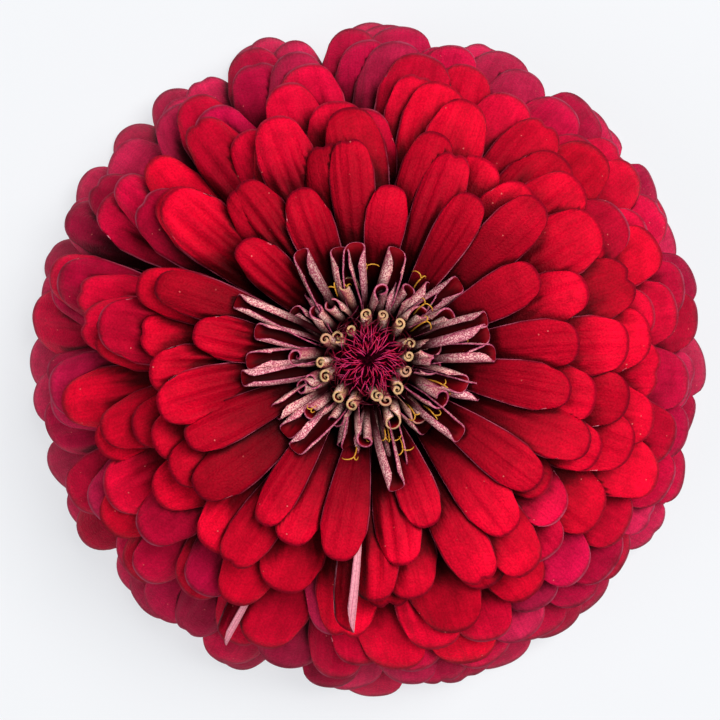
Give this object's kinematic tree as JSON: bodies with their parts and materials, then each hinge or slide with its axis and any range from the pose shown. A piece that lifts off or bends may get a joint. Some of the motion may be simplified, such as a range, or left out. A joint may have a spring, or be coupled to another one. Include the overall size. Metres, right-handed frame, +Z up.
{
  "type": "zinnia flower",
  "caption": "Large double zinnia flower head with whorls of broad crimson petals round a centre of rolled cream and pink young rays and a dark thread tuft.",
  "frame": {"origin": "on the surface the head rests on, under the axis of the stalk and the head", "axes": "+Z up along the axis of the head, from the cut stalk to the tuft; +X and +Y across the head, through the tips of four of its lowest petals"},
  "size_m": [0.112, 0.112, 0.0498],
  "materials": {
    "ray_petal": "velvety crimson petal, paler pink underneath",
    "young_ray": "cream to pink rolled petal, crimson inside",
    "chaff": "dark crimson threads",
    "bract": "matt green scale with a dark fringed edge",
    "stalk": "ribbed, finely hairy green stalk",
    "receptacle": "matt pale green flesh"
  },
  "bodies": {
    "root": {"bract_inner_1": "bract", "bract_inner_2": "bract", "bract_inner_3": "bract", "bract_inner_4": "bract", "bract_inner_5": "bract", "bract_inner_6": "bract", "bract_inner_7": "bract", "bract_inner_8": "bract", "bract_middle_1": "bract", "bract_middle_2": "bract", "bract_middle_3": "bract", "bract_middle_4": "bract", "bract_middle_5": "bract", "bract_middle_6": "bract", "bract_middle_7": "bract", "bract_middle_8": "bract", "bract_outer_1": "bract", "bract_outer_2": "bract", "bract_outer_3": "bract", "bract_outer_4": "bract", "bract_outer_5": "bract", "bract_outer_6": "bract", "bract_outer_7": "bract", "bract_outer_8": "bract", "ray_whorl_01": "ray_petal", "ray_whorl_02": "ray_petal", "ray_whorl_03": "ray_petal", "ray_whorl_04": "ray_petal", "ray_whorl_05": "ray_petal", "ray_whorl_06": "ray_petal", "ray_whorl_07": "ray_petal", "ray_whorl_08": "ray_petal", "ray_whorl_09": "ray_petal", "ray_whorl_10": "ray_petal", "ray_whorl_11": "ray_petal", "ray_whorl_12": "ray_petal", "ray_whorl_13": "ray_petal", "ray_whorl_14": "ray_petal", "opening_rays": "young_ray", "rolled_rays": "young_ray", "ray_buds": "young_ray", "chaff_tuft": "chaff", "receptacle": "receptacle", "stalk": "stalk"}
  },
  "joints": []
}
